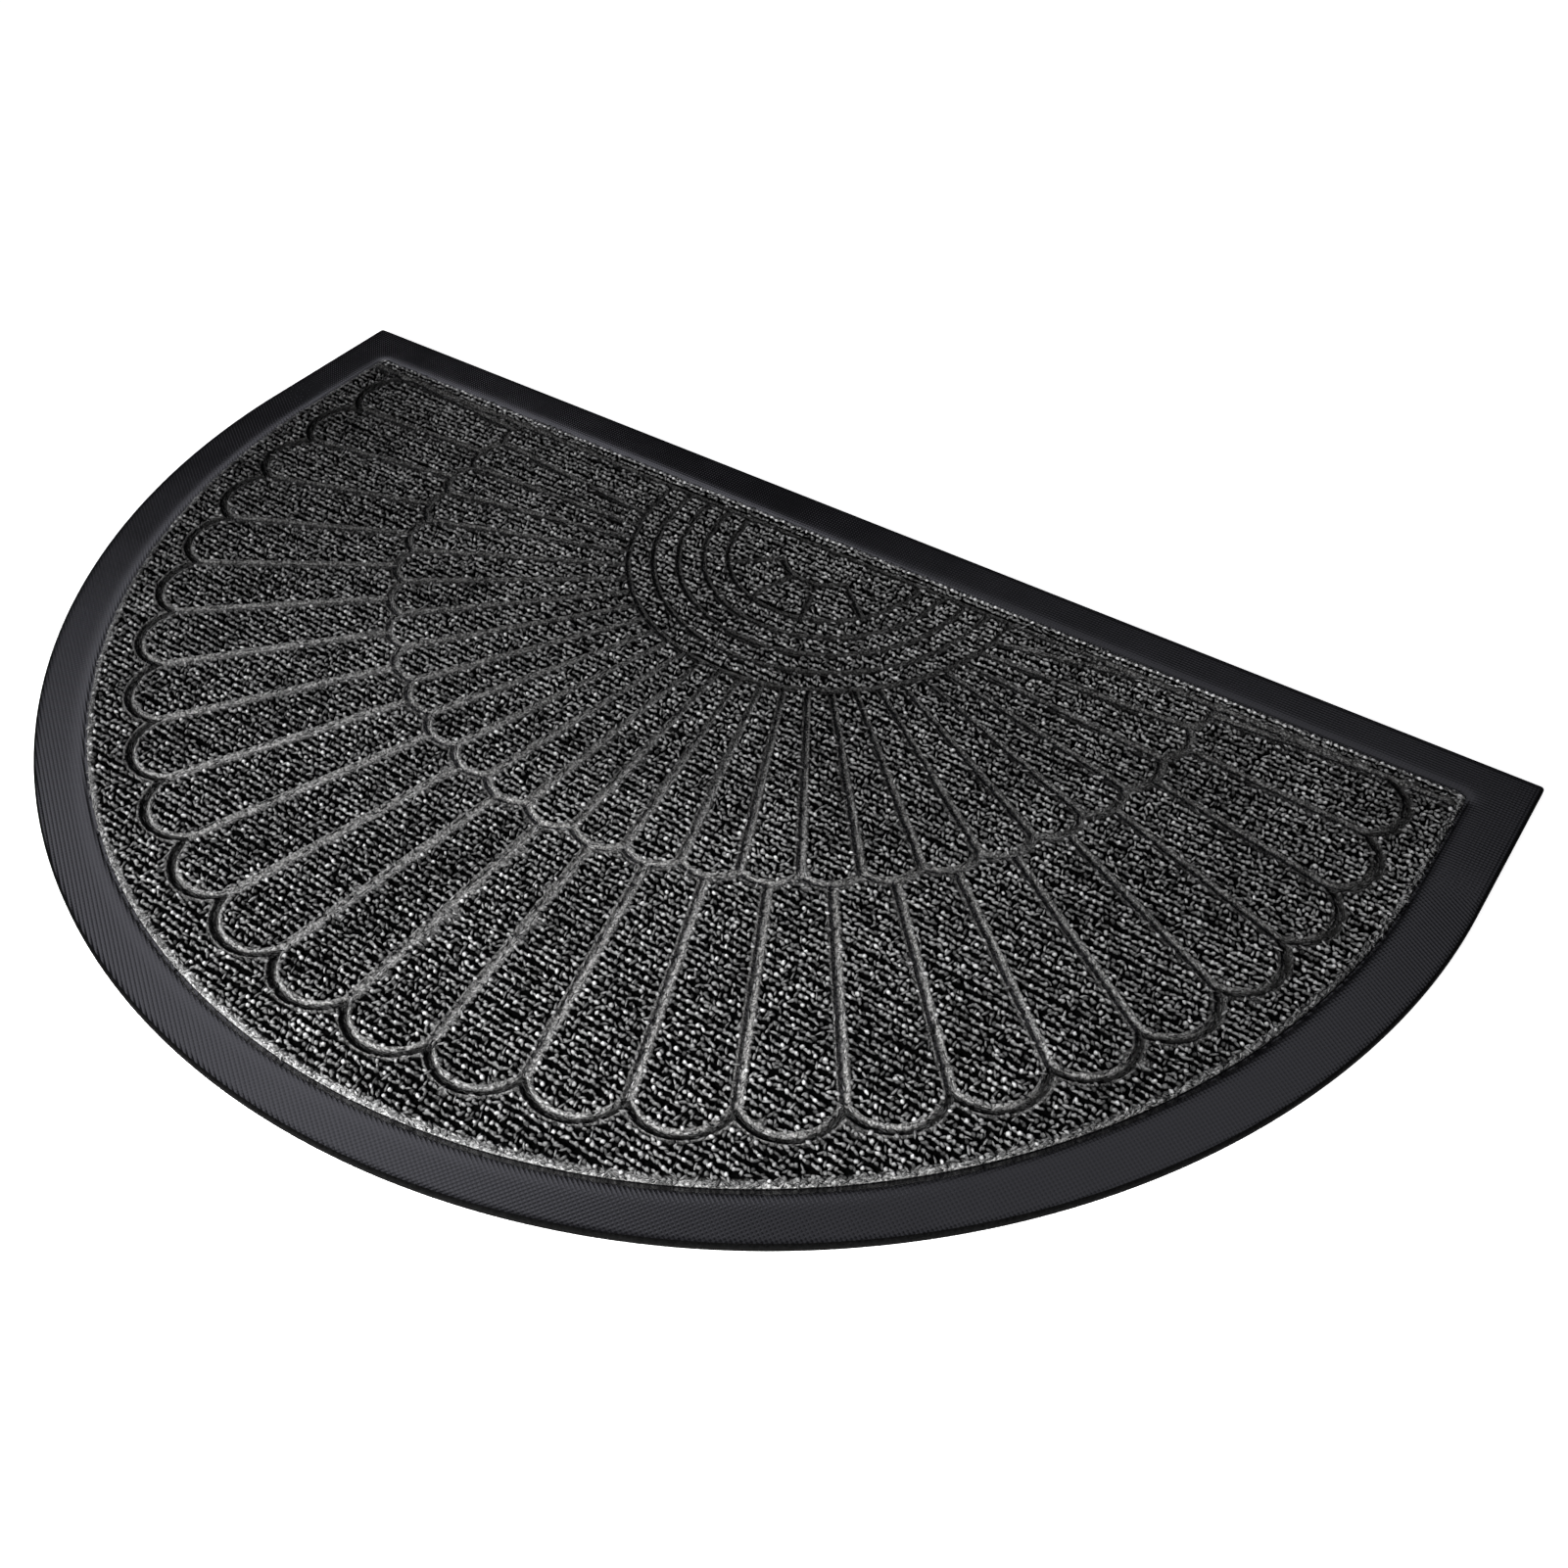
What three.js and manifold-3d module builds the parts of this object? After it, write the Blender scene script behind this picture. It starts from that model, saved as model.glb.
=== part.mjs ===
// A half-round doormat: a moulded rubber base and a looped textile pad pressed into a fan of petals.
// Millimetres, +Z up, +Y towards the straight back edge, origin under the middle of the mat.
import * as THREE from 'three';
import { mergeVertices } from 'three/addons/utils/BufferGeometryUtils.js';
import Module from 'manifold-3d';

const wasm = await Module();
wasm.setup();

// Outline of the mat: a half circle on short straight sides
const MAT_WIDTH = 800;
const SIDE_LENGTH = 100;
const MAT_RADIUS = MAT_WIDTH / 2;
const MAT_DEPTH = SIDE_LENGTH + MAT_RADIUS;
const BACK_Y = MAT_DEPTH / 2;
const ARC_Y = BACK_Y - SIDE_LENGTH;
const MAT_CORNER = 2;

// Rubber base
const RUBBER_HEIGHT = 4.3;
const RUBBER_EDGE_ROUND = 1.2;
const RECESS_DEPTH = 1;

// Textile pad, let into the base
const BORDER_SIDE = 30;
const BORDER_BACK = 29;
const BORDER_FRONT = 25;
const PAD_GAP = 0.3;
const PAD_TOP = 8;
const PAD_SHOULDER_WIDTH = 3;
const PAD_SHOULDER_DROP = 3;
const PAD_CORNER = 4;
const PAD_HALF_WIDTH = MAT_RADIUS - BORDER_SIDE;
const PAD_ARC_DEPTH = MAT_RADIUS - BORDER_FRONT;
const PAD_BACK_Y = BACK_Y - BORDER_BACK;
const PAD_BOTTOM = RUBBER_HEIGHT - RECESS_DEPTH + PAD_GAP;

// Pressed grooves: sloped sides down to a narrow floor
const GROOVE_HALF_WIDTH = 2.5;
const FLOOR_HALF_WIDTH = 0.8;
const GROOVE_DEPTH = 2.2;
const GROOVE_SLOPE = (GROOVE_HALF_WIDTH - FLOOR_HALF_WIDTH) / GROOVE_DEPTH;
const FLOOR_Z = PAD_TOP - GROOVE_DEPTH;
const RAISED_SINK = 0.4;
const CUT_CLEARANCE = 1;
const SEAM_INSET = 12;
const SEAM_Y = PAD_BACK_Y - SEAM_INSET;
const SEAM_LINE_WIDTH = 0.01;

// Fan of petals: two rings of them, set half a step apart
const DEGREE = Math.PI / 180;
const FOCUS_Y = 187;
const PETAL_STEP = 7.2 * DEGREE;
const PETALS_PER_SIDE = 13;
const TIP_RADIUS = 337;
const TIP_BULGE = 15;
const MID_RADIUS = 234;
const MID_BULGE = 7;

// Medallion: half rings at the back round a small fan
const MEDALLION_Y = 205;
const FIRST_RING = 59;
const RING_STEP = 14.5;
const RING_COUNT = 5;
const ROOT_STEP = 6.14 * DEGREE;
const CORE_RADIUS = 27;
const CORE_STEP = 34 * DEGREE;
const CORE_PETALS = 3;

// Steps along each kind of curve, and the distance within which two points are one
const OUTLINE_STEPS = 48;
const CORNER_STEPS = 3;
const TIP_STEPS = 5;
const MID_HALF_STEPS = 2;
const RING_STEPS = 16;
const CORE_STEPS = 3;
const SHOULDER_STEPS = 2;
const MERGE_DISTANCE = 1e-4;

// Turns a closed three.js geometry into a solid for joining and cutting.
function toSolid(geometry) {
  const bare = geometry.clone();
  bare.deleteAttribute('normal');
  bare.deleteAttribute('uv');
  const merged = mergeVertices(bare, MERGE_DISTANCE);
  return new wasm.Manifold(new wasm.Mesh({
    numProp: 3,
    vertProperties: new Float32Array(merged.attributes.position.array),
    triVerts: new Uint32Array(merged.index.array),
  }));
}

// Turns a solid back into a three.js geometry.
function toGeometry(solid) {
  const mesh = solid.getMesh();
  const geometry = new THREE.BufferGeometry();
  geometry.setAttribute('position', new THREE.BufferAttribute(mesh.vertProperties, mesh.numProp));
  geometry.setIndex(new THREE.BufferAttribute(mesh.triVerts, 1));
  geometry.computeVertexNormals();
  return geometry;
}

// Points at equal steps along an arc of an ellipse.
function arcPoints(x, y, radiusX, radiusY, from, to, steps) {
  return new THREE.EllipseCurve(x, y, radiusX, radiusY, from, to, to < from).getPoints(steps);
}

// Straight back with two rounded corners, short sides, and an arc at the front.
function halfRound(halfWidth, backY, arcDepth, corner) {
  const cornerX = halfWidth - corner;
  const cornerY = backY - corner;
  return new THREE.Shape([
    ...arcPoints(cornerX, cornerY, corner, corner, 0, Math.PI / 2, CORNER_STEPS),
    ...arcPoints(-cornerX, cornerY, corner, corner, Math.PI / 2, Math.PI, CORNER_STEPS),
    ...arcPoints(0, ARC_Y, halfWidth, arcDepth, Math.PI, 2 * Math.PI, OUTLINE_STEPS),
  ]);
}

// A flat plate between two levels, with square edges.
function plate(shape, bottom, top) {
  const geometry = new THREE.ExtrudeGeometry(shape, { depth: top - bottom, bevelEnabled: false });
  return toSolid(geometry.translate(0, 0, bottom));
}

// A box that covers the whole mat between two levels.
function slab(bottom, top) {
  const geometry = new THREE.BoxGeometry(2 * MAT_WIDTH, 2 * MAT_WIDTH, top - bottom);
  return toSolid(geometry.translate(0, 0, (bottom + top) / 2));
}

// A flat plate whose upper edge is rounded off and whose lower edge is square.
function roundedPlate(shape, bottom, top, roundWidth, roundDrop) {
  const geometry = new THREE.ExtrudeGeometry(shape, {
    depth: top - bottom,
    bevelThickness: roundDrop,
    bevelSize: roundWidth,
    bevelOffset: -roundWidth,
    bevelSegments: SHOULDER_STEPS,
  });
  return toSolid(geometry.translate(0, 0, bottom - roundDrop)).intersect(slab(bottom, top));
}

// A plate whose sides lean from one inset of its outline at the bottom to another at the top.
function leaningPlate(points, bottom, top, bottomInset, topInset) {
  const geometry = new THREE.ExtrudeGeometry(new THREE.Shape(points), {
    depth: RAISED_SINK,
    bevelThickness: top - bottom,
    bevelSize: topInset - bottomInset,
    bevelOffset: -topInset,
    bevelSegments: 1,
  });
  return toSolid(geometry.translate(0, 0, bottom - RAISED_SINK)).intersect(slab(bottom, top));
}

// A raised field between grooves: its outline runs along the middle of the grooves round it.
function raised(points) {
  const footInset = FLOOR_HALF_WIDTH - GROOVE_SLOPE * RAISED_SINK;
  return leaningPlate(points, FLOOR_Z - RAISED_SINK, PAD_TOP, footInset, GROOVE_HALF_WIDTH);
}

// A hollow pressed down to the groove floor, with its sides leaning outwards.
function pressed(points) {
  const mouthInset = -GROOVE_HALF_WIDTH - GROOVE_SLOPE * CUT_CLEARANCE;
  return leaningPlate(points, FLOOR_Z, PAD_TOP + CUT_CLEARANCE, -FLOOR_HALF_WIDTH, mouthInset);
}

// Point at a distance from a centre on the middle line, at an angle from straight ahead.
function around(centreY, radius, angle) {
  return new THREE.Vector2(radius * Math.sin(angle), centreY - radius * Math.cos(angle));
}

// Points along an arc about a centre on the middle line.
function ringPoints(centreY, radius, from, to, steps) {
  return arcPoints(0, centreY, radius, radius, from - Math.PI / 2, to - Math.PI / 2, steps);
}

// Points of the arc between two points that bulges to the right of the way between them.
function scallop(start, end, bulge, steps) {
  const chord = end.clone().sub(start);
  const half = chord.length() / 2;
  const radius = (half * half + bulge * bulge) / (2 * bulge);
  const right = new THREE.Vector2(chord.y, -chord.x).normalize();
  const centre = start.clone().lerp(end, 0.5).addScaledVector(right, bulge - radius);
  const middle = Math.atan2(right.y, right.x);
  const reach = Math.asin(half / radius);
  return arcPoints(centre.x, centre.y, radius, radius, middle - reach, middle + reach, steps);
}

// Outer corner between two petals, where a ray from the focus meets the circle of the tips.
// The last corner on each side lies on the seam.
function tipCorner(index) {
  const angle = index * PETAL_STEP;
  const lead = FOCUS_Y - ARC_Y;
  const along = lead * Math.cos(angle);
  const across = lead * Math.sin(angle);
  const corner = around(FOCUS_Y, along + Math.sqrt(TIP_RADIUS ** 2 - across ** 2), angle);
  return Math.abs(index) === PETALS_PER_SIDE ? corner.setY(SEAM_Y) : corner;
}

// Rounded outer end of an outer petal.
function tipArc(index) {
  return scallop(tipCorner(index), tipCorner(index + 1), TIP_BULGE, TIP_STEPS);
}

// Rounded outer end of an inner petal, which lies astride a divider of the outer ring.
function midArc(index) {
  const start = around(FOCUS_Y, MID_RADIUS, (index - 0.5) * PETAL_STEP);
  const end = around(FOCUS_Y, MID_RADIUS, (index + 0.5) * PETAL_STEP);
  return scallop(start, end, MID_BULGE, 2 * MID_HALF_STEPS);
}

// Cuts an outline off at the seam along the back.
function cutAtSeam(points) {
  const kept = [];
  points.forEach((point, i) => {
    const next = points[(i + 1) % points.length];
    if (point.y <= SEAM_Y) kept.push(point);
    if ((point.y - SEAM_Y) * (next.y - SEAM_Y) < 0) {
      kept.push(point.clone().lerp(next, (SEAM_Y - point.y) / (next.y - point.y)));
    }
  });
  return kept;
}

// Outline of an outer petal, from the inner petals' ends to its own rounded end.
// The last petal on each side runs up to the seam.
function outerPetal(index) {
  const before = index === -PETALS_PER_SIDE ? 1 : 0;
  const after = index + 1 === PETALS_PER_SIDE ? 1 : 0;
  const first = midArc(index).slice(MID_HALF_STEPS - before);
  const second = midArc(index + 1).slice(1, MID_HALF_STEPS + 1 + after);
  return cutAtSeam([...tipArc(index), ...[...first, ...second].reverse()]);
}

// Outline of an inner petal, from the medallion's last ring to its own rounded end.
function innerPetal(index) {
  const lastRing = FIRST_RING + RING_STEP * (RING_COUNT - 1);
  const root = [0.5, -0.5].map((side) => around(MEDALLION_Y, lastRing, (index + side) * ROOT_STEP));
  return cutAtSeam([...midArc(index), ...root]);
}

// Outline of the band between two neighbouring rings of the medallion.
function ringBand(index) {
  const inner = FIRST_RING + RING_STEP * index;
  const outer = inner + RING_STEP;
  const reach = (radius) => Math.acos((MEDALLION_Y - SEAM_Y) / radius);
  return [
    ...ringPoints(MEDALLION_Y, outer, -reach(outer), reach(outer), RING_STEPS),
    ...ringPoints(MEDALLION_Y, inner, reach(inner), -reach(inner), RING_STEPS),
  ];
}

// Outline of one petal of the small fan inside the medallion.
function corePetal(index) {
  const from = (index - CORE_PETALS / 2) * CORE_STEP;
  const to = from + CORE_STEP;
  return [
    ...ringPoints(MEDALLION_Y, FIRST_RING, from, to, CORE_STEPS),
    ...ringPoints(MEDALLION_Y, CORE_RADIUS, to, from, CORE_STEPS),
  ];
}

// Outline of the plain ground round the small fan.
function coreGround() {
  const reach = Math.acos((MEDALLION_Y - SEAM_Y) / FIRST_RING);
  const edge = (CORE_PETALS / 2) * CORE_STEP;
  return [
    ...ringPoints(MEDALLION_Y, FIRST_RING, -reach, -edge, CORE_STEPS),
    ...ringPoints(MEDALLION_Y, CORE_RADIUS, -edge, edge, CORE_STEPS * CORE_PETALS),
    ...ringPoints(MEDALLION_Y, FIRST_RING, edge, reach, CORE_STEPS),
  ];
}

// Outlines of every raised field inside the fan.
function fanFields() {
  const fields = [coreGround()];
  for (let i = 0; i < CORE_PETALS; i += 1) {
    fields.push(corePetal(i));
  }
  for (let i = 0; i < RING_COUNT - 1; i += 1) {
    fields.push(ringBand(i));
  }
  for (let i = -PETALS_PER_SIDE; i <= PETALS_PER_SIDE; i += 1) {
    fields.push(innerPetal(i));
  }
  for (let i = -PETALS_PER_SIDE; i < PETALS_PER_SIDE; i += 1) {
    fields.push(outerPetal(i));
  }
  return fields;
}

// Outline of the whole fan, along its rounded ends and the seam.
function fanOutline() {
  const points = [];
  for (let i = -PETALS_PER_SIDE; i < PETALS_PER_SIDE; i += 1) {
    points.push(...tipArc(i).slice(1));
  }
  return cutAtSeam(points);
}

// Outline of the middle line of the seam, as a very narrow strip right across the pad.
function seamStrip() {
  return [
    new THREE.Vector2(-MAT_RADIUS, SEAM_Y - SEAM_LINE_WIDTH),
    new THREE.Vector2(MAT_RADIUS, SEAM_Y - SEAM_LINE_WIDTH),
    new THREE.Vector2(MAT_RADIUS, SEAM_Y),
    new THREE.Vector2(-MAT_RADIUS, SEAM_Y),
  ];
}

// Rubber base: rounded upper edge, with a shallow recess for the pad.
function rubberBase() {
  const outline = halfRound(MAT_RADIUS, BACK_Y, MAT_RADIUS, MAT_CORNER);
  const body = roundedPlate(outline, 0, RUBBER_HEIGHT, RUBBER_EDGE_ROUND, RUBBER_EDGE_ROUND);
  const halfWidth = PAD_HALF_WIDTH + PAD_GAP;
  const recess = halfRound(halfWidth, PAD_BACK_Y + PAD_GAP, PAD_ARC_DEPTH + PAD_GAP, PAD_CORNER + PAD_GAP);
  return body.subtract(plate(recess, RUBBER_HEIGHT - RECESS_DEPTH, RUBBER_HEIGHT + CUT_CLEARANCE));
}

// Textile pad: rounded shoulder all round, with the fan pressed into its face.
function textilePad() {
  const outline = halfRound(PAD_HALF_WIDTH, PAD_BACK_Y, PAD_ARC_DEPTH, PAD_CORNER);
  const body = roundedPlate(outline, PAD_BOTTOM, PAD_TOP, PAD_SHOULDER_WIDTH, PAD_SHOULDER_DROP);
  const hollowed = body.subtract(pressed(fanOutline())).subtract(pressed(seamStrip()));
  return fanFields().reduce((sum, outlinePoints) => sum.add(raised(outlinePoints)), hollowed);
}

const rubber = new THREE.MeshStandardMaterial({ color: 0x25262b, roughness: 0.55, metalness: 0 });
const textile = new THREE.MeshStandardMaterial({ color: 0x3c3c3d, roughness: 0.95, metalness: 0 });

const base = new THREE.Mesh(toGeometry(rubberBase()), rubber);
base.name = 'rubber_base';
const pad = new THREE.Mesh(toGeometry(textilePad()), textile);
pad.name = 'textile_pad';

const doormat = new THREE.Group();
doormat.add(base, pad);

export default doormat;
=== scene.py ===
import math

import bpy
import numpy as np
from mathutils import Matrix, Vector
from mathutils.geometry import delaunay_2d_cdt
from mathutils.kdtree import KDTree


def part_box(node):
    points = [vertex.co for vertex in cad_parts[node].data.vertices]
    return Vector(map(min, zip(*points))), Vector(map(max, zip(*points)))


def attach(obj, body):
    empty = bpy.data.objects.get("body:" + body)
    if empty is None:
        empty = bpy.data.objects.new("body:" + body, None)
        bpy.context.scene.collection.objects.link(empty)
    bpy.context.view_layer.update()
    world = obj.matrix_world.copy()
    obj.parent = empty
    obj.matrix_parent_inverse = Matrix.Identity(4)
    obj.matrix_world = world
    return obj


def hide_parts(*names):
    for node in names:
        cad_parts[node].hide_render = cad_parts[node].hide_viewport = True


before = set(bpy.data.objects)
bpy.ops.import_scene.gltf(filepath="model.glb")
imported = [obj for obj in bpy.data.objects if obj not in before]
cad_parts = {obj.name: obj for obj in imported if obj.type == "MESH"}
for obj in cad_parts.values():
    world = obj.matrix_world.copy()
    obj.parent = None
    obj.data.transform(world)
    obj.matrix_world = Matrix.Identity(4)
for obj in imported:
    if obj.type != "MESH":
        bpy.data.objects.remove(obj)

# A half-round doormat: a looped textile pad pressed into a fan of petals, on a moulded rubber base.
# Metres, in the frame of the solids: +Y towards the straight back edge, +Z up.

MM = 0.001
DEGREE = math.pi / 180
SEED = 11

# Boxes of the solids, and the sizes that follow from them
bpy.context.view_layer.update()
BASE_LOW, BASE_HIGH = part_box("rubber_base")
PAD_LOW, PAD_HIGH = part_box("textile_pad")
MAT_RADIUS = BASE_HIGH.x
MAT_BACK_Y = BASE_HIGH.y
ARC_Y = BASE_LOW.y + MAT_RADIUS
RUBBER_TOP = BASE_HIGH.z
PAD_HALF_WIDTH = PAD_HIGH.x
PAD_BACK_Y = PAD_HIGH.y
PAD_ARC_DEPTH = ARC_Y - PAD_LOW.y
PAD_TOP = PAD_HIGH.z
PAD_BOTTOM = PAD_LOW.z
MAT_CORNER = 2 * MM
PAD_CORNER = 4 * MM
LEAST_CORNER = 0.4 * MM

# Steps round an outline: side, corner, back, corner, side, arc
SIDE_STEPS = 30
CORNER_STEPS = 6
BACK_STEPS = 240
ARC_STEPS = 420

# Rings of the rubber's foot and upper edge, in mm: inset, height or drop, and flare in the map
FOOT_RINGS = ((1.0, 0, 7), (0.25, 0.25, 6), (0, 0.9, 5))
EDGE_RINGS = ((0, 1.2, 3), (0.12, 0.65, 2), (0.42, 0.28, 1), (0.8, 0.08, 0), (1.3, 0, -1))
WALL_STRIPS = len(FOOT_RINGS) + len(EDGE_RINGS) - 1
BORDER_STRIPS = 7
# Rings where the border dips to meet the textile, in mm: distance outside it, and drop
LIP_RINGS = ((8, 0), (6, 0.08), (4.2, 0.25), (2.6, 0.5), (1.7, 0.8), (1.2, 1), (0.35, 1))

# Cloth imprint on the rubber: slanted round the arc, square along the back
IMPRINT_PITCH = 1.85 * MM
IMPRINT_SLANT = 32 * DEGREE
SLANTED_SHARE = 0.75
CROSSING_SHARE = 0.35
CHECK_SHARE = 0.5
CHECK_FROM = ARC_Y - 10 * MM
CHECK_FULL = ARC_Y + 30 * MM
IMPRINT_DEPTH = 0.06 * MM

# Fan of petals, as in the solid
SEAM_Y = PAD_BACK_Y - 12 * MM
FOCUS_Y = 187 * MM
PETAL_STEP = 7.2 * DEGREE
PETALS_PER_SIDE = 13
TIP_RADIUS = 337 * MM
TIP_BULGE = 15 * MM
TIP_MARGIN = 1.0 * MM
# Reach of the painted shadow on the felt in the margin outside the tips
MARGIN_REACH = (1.5 * MM, 2.3 * MM)
MID_RADIUS = 234 * MM
MID_BULGE = 7 * MM
MEDALLION_Y = 205 * MM
FIRST_RING = 59 * MM
RING_STEP = 14.5 * MM
RING_COUNT = 5
RING_REACH = math.pi / 2 + 0.2
# Reach and strength of the painted shade on the felt in the medallion's creases
MEDALLION_REACH = (118 * MM, 126 * MM)
MEDALLION_PAINTED_SHADE = 0.6
ROOT_STEP = 6.14 * DEGREE
CORE_RADIUS = 27 * MM
CORE_STEP = 34 * DEGREE
CORE_PETALS = 3
LINE_SPACING = 0.3 * MM

# Square texture maps: width taken in, scale of the underside, scale and place of hidden faces,
# and flare of the textile's wall
MAP_SPAN = 0.83
UNDERSIDE_SCALE = 0.85
HIDDEN_SCALE = 0.02
HIDDEN_PLACE = 0.48
WALL_FLARE = 5 * MM

# Ground of the textile: field level, pressed lines with felted slopes, and rounded shoulder
GROUND_Z = PAD_TOP - 1.9 * MM
LINE_Z = PAD_TOP - 2.5 * MM
SLOPE_Z = PAD_TOP - 0.6 * MM
RIM_Z = RUBBER_TOP + 0.1 * MM
LINE_FLOOR = 1.1 * MM
LINE_SLOPE = 2.4 * MM
LINE_REACH = 3.3 * MM
INNER_WIDTH = 0.78
WIDTH_REACH = (90 * MM, 260 * MM)
LINE_OFFSETS = (0.0, 1.0 * MM, 1.7 * MM, 2.4 * MM)
LINE_POINT_STEP = 5
RIM_WIDTH = 4.2 * MM
RIM_INSETS = (0, 0.5 * MM, 1.2 * MM, 2.2 * MM, 3.4 * MM)
FINE_SPACING = 1.6 * MM
COARSE_SPACING = 5 * MM
FINE_REACH = 4.2 * MM
COARSE_FROM = FINE_REACH + COARSE_SPACING / 3
GRID_JITTER = 0.2
COLUMN_ROOM = 0.2 * MM
GRID_ROOM = 0.6 * MM
RIM_ROOM = 0.8 * MM
MERGE_DISTANCE_MM = 1e-6

# Where the fibres are pressed into felt: full, and none
LINE_FELT = (2.2 * MM, 3.0 * MM)
RIM_FELT = (1.2 * MM, 2.8 * MM)

# Pile: rows of loop tips with threads between them, and felted tufts on the lines and the rim
PILE_HEIGHT = PAD_TOP - GROUND_Z
ROW_PITCH = 3.9 * MM
LOOP_PITCH = 4.0 * MM
FIRST_ROW_INSET = 2.9 * MM
ROW_SHIFT = 0.25
ROW_WAVE = 0.35 * MM
ROW_WAVE_LENGTH = 17 * MM
PILE_SPREAD = 0.12
LEAST_RISE = 0.25
SELVAGE_RISE = 0.55
STRAND_SINK = 0.35 * MM
LEAST_STRAND = 0.3 * MM
STRAND_RAGGED = 0.1
STRAND_LEAN = 0.2 * MM
LOOP_SIZE = (3.0 * MM, 2.4 * MM)
LOOP_STRAY = 0.11
LOOP_TURN = 0.55
THREAD_SIZE = (4.8 * MM, 1.6 * MM)
THREAD_HEIGHT = 0.72
THREAD_STRAY = 0.12
THREAD_TURN = 0.35
CROSS_SHARE = 0.36
CROSS_TURN = 1.2
CLEAR_OF_LINE = 2.4 * MM
FULL_FROM_LINE = 2.8 * MM
CLEAR_OF_RIM = 1.5 * MM
FULL_FROM_RIM = 4.2 * MM
TUFT_SIZE = (4.6 * MM, 1.0 * MM)
TUFT_SPREAD = 0.2
TUFT_HEIGHT = 0.45 * MM
TUFT_RISE = (0.5, 1.3)
LINE_TUFT_SPACING = 2.8 * MM
LINE_TUFT_REACH = 2.2 * MM
LINE_TUFT_TURN = 0.15
RIM_TUFTS = 2600
RIM_TUFT_START = 0.4 * MM
RIM_TUFT_REACH = 3.2 * MM
RIM_TUFT_TURN = 0.5
TUFT_CLEAR_OF_RIM = 0.3 * MM
STRAND_SIDES = 6
# Rings of a strand: share of its size, share of its rise, and radius in its map cell
STRAND_RINGS = ((0.92, 0.0, 0.47), (0.86, 0.62, 0.28))
PILE_PIECES = 4

# Wear and painted light: reach of the pale rim to each side, and where the face goes from pale to dark;
# partly wear, partly painted light that falls off away from the front key.
RIM_PALE_REACH = 110 * MM
FACE_PALE_SPAN = (-120 * MM, 110 * MM)
LEAST_RIM_PALE = 0.35

# Tones of the strands, from dark 0 to light 1: beta shape of the loops, least and span of the others,
# and share kept where the pale of wear and painted light is least
LOOP_TONE_SHAPE = (2.0, 2.4)
SELVAGE_TONE = 0.4
THREAD_TONE = (0.15, 0.4)
LINE_TUFT_TONE = (0.1, 0.6)
RIM_TUFT_TONE = (0.3, 0.6)
BACK_LOOP_SHARE = 0.8
BACK_LINE_SHARE = 0.45
OFF_FRONT_RIM_SHARE = 0.4
# Share of painted shade taken off the felted tufts where the felt is painted dark
PAINTED_SHADE_SHARE = 0.9

# Yarn: noise scales per metre, shares in its tone, and grey levels along the tone
YARN_FIBRE = 900
YARN_PATCH = 16
YARN_FUZZ = 2200
TONE_SHARE = 0.75
FIBRE_SHARE = 0.5
PATCH_SHARE = 0.3
YARN_GREYS = ((0.2, 0.02), (0.42, 0.11), (0.65, 0.37), (0.95, 0.95))
# Colour at the strands' roots and how fast it gives way upwards: partly the yarn's dark root, partly
# painted shade in the crevices between the strands
ROOT_PAINTED_SHADE = (0.001, 0.001, 0.001, 1)
TIP_POWER = 1.9

# Felt and backing: noise scales per metre, grey levels along the fibre noise, and a warm tint
FELT_FIBRE = 800
FELT_PATCH = 9
# Felt at the back and at the front: the front felt is paler, partly wear, partly painted light
BACK_FELT = ((0.38, 0.012), (0.5, 0.045), (0.64, 0.17))
FRONT_FELT = ((0.38, 0.05), (0.5, 0.2), (0.64, 0.55))
# Grey levels of the painted shade on the felt
PAINTED_SHADE_FELT = ((0.35, 0.006), (0.7, 0.03))
# Rim fuzz: light felt, brightest at the front as partly wear, partly painted highlight
RIM_FUZZ = ((0.34, 0.05), (0.5, 0.24), (0.66, 0.72))
# Backing between the loops: partly its own dark colour, partly painted shade
BACKING_AND_SHADE = ((0.35, 0.001), (0.7, 0.003))
TINT_SHARE = 0.4
TINT_COLOUR = (0.24, 0.22, 0.19, 1)

# Rubber: noise scales per metre, colours, and roughness on the crests and in the valleys
RUBBER_DUST = 30
RUBBER_COLOURS = ((0.3, (0.003, 0.003, 0.0036)), (0.7, (0.008, 0.008, 0.0095)))
# Valleys of the imprint darkened as painted shade; the crests stay lighter, partly dust
VALLEY_PAINTED_SHADE = (0.1, 0.1, 0.1, 1)
CREST_ROUGHNESS = 0.09
DUST_ROUGHNESS = 0.08
VALLEY_ROUGHNESS = 0.16
EDGE_GRAIN = 700
EDGE_GREYS = ((0.3, 0.002), (0.7, 0.006))

# Stage: reach and level of the floor, and the backdrop round it
STAGE_REACH = 6
FLOOR_LEVEL = 0.93
BACKDROP_HEIGHT = 6
BACKDROP_SIDES = 64

# Surround: level and colour
ROOM_LEVEL = 0.02
COOL = (0.95, 0.95, 1.08, 1)

# Lights: place, point looked at, size and power
KEY_LIGHT = ((-0.1, -1.55, 0.85), (0.1, -0.28, 0), 0.45, 5.9)
KEY_SPREAD = 52 * DEGREE
SHEEN_LIGHT = ((-1.988, 1.148, 2.641), (0, 0, 0), 1.6, 7.6)
SOFTBOX_LIGHT = ((-0.774, 3.353, 4.915), (0, 0, 0), 2.9, 9.5)

# Camera at the photograph's angle
CAMERA_PLACE = Vector((0.43688, -0.46751, 0.61705))
CAMERA_FORWARD = Vector((-0.407376, 0.581159, -0.704485))
CAMERA_RIGHT = Vector((0.823543, 0.567193, -0.008321))
CAMERA_LENS = 39.568
CAMERA_SENSOR = 36
CAMERA_NEAR = 0.01


def smooth_step(value, low, high):
    """0 below low, 1 above high, with a soft change between."""
    t = np.clip((value - low) / (high - low), 0, 1)
    return t * t * (3 - 2 * t)


def from_least(least, share):
    """A share from 0 to 1, raised to run from a least value to 1."""
    return least + (1 - least) * share


# Outlines

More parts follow.
